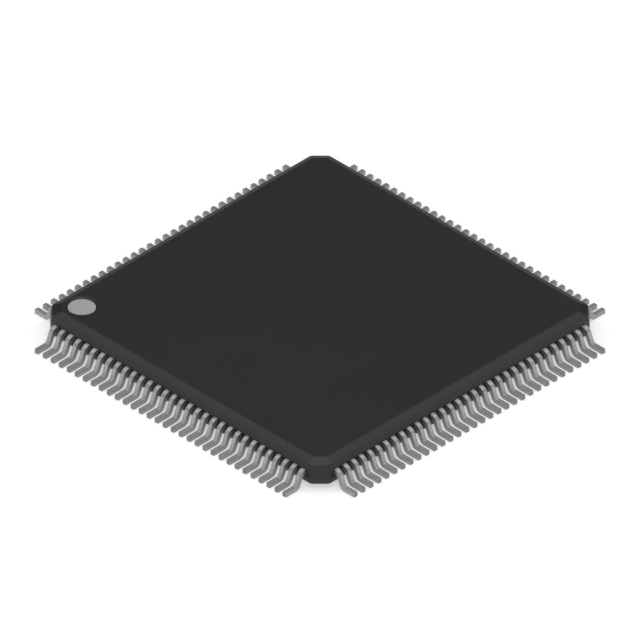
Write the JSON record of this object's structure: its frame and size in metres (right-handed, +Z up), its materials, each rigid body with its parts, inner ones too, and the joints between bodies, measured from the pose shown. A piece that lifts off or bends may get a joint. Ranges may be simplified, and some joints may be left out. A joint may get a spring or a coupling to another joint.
{
  "type": "integrated circuit",
  "caption": "Thin square surface-mount chip package with cut corners, fine-pitch gull-wing leads on all four sides and a round mark beside the first pin.",
  "frame": {"origin": "on the seating plane, below the middle of the moulded body, so the lead feet stand on z = 0", "axes": "+Z up through the top face; pin 1 is at the -X, +Y corner with pins 1 to 32 down the -X side, and the pins count anticlockwise seen from above"},
  "size_m": [0.016, 0.016, 0.0011],
  "materials": {
    "mould_compound": "charcoal filled epoxy, finely sparked matt surface",
    "marking_ink": "flat pale grey ink",
    "plated_lead": "matt tin plating over copper alloy, light satin grey",
    "lead_frame": "bare copper alloy strip",
    "silicon": "polished silicon",
    "die_adhesive": "silver-filled epoxy",
    "gold_wire": "bare gold wire"
  },
  "bodies": {
    "root": {"moulded_body": "mould_compound", "pin_one_dot": "marking_ink", "die": "silicon", "die_attach": "die_adhesive", "die_paddle": "lead_frame", "leads_001_008": "plated_lead", "leads_009_016": "plated_lead", "leads_017_024": "plated_lead", "leads_025_032": "plated_lead", "leads_033_040": "plated_lead", "leads_041_048": "plated_lead", "leads_049_056": "plated_lead", "leads_057_064": "plated_lead", "leads_065_072": "plated_lead", "leads_073_080": "plated_lead", "leads_081_088": "plated_lead", "leads_089_096": "plated_lead", "leads_097_104": "plated_lead", "leads_105_112": "plated_lead", "leads_113_120": "plated_lead", "leads_121_128": "plated_lead", "bond_wires_001_008": "gold_wire", "bond_wires_009_016": "gold_wire", "bond_wires_017_024": "gold_wire", "bond_wires_025_032": "gold_wire", "bond_wires_033_040": "gold_wire", "bond_wires_041_048": "gold_wire", "bond_wires_049_056": "gold_wire", "bond_wires_057_064": "gold_wire", "bond_wires_065_072": "gold_wire", "bond_wires_073_080": "gold_wire", "bond_wires_081_088": "gold_wire", "bond_wires_089_096": "gold_wire", "bond_wires_097_104": "gold_wire", "bond_wires_105_112": "gold_wire", "bond_wires_113_120": "gold_wire", "bond_wires_121_128": "gold_wire"}
  },
  "joints": []
}
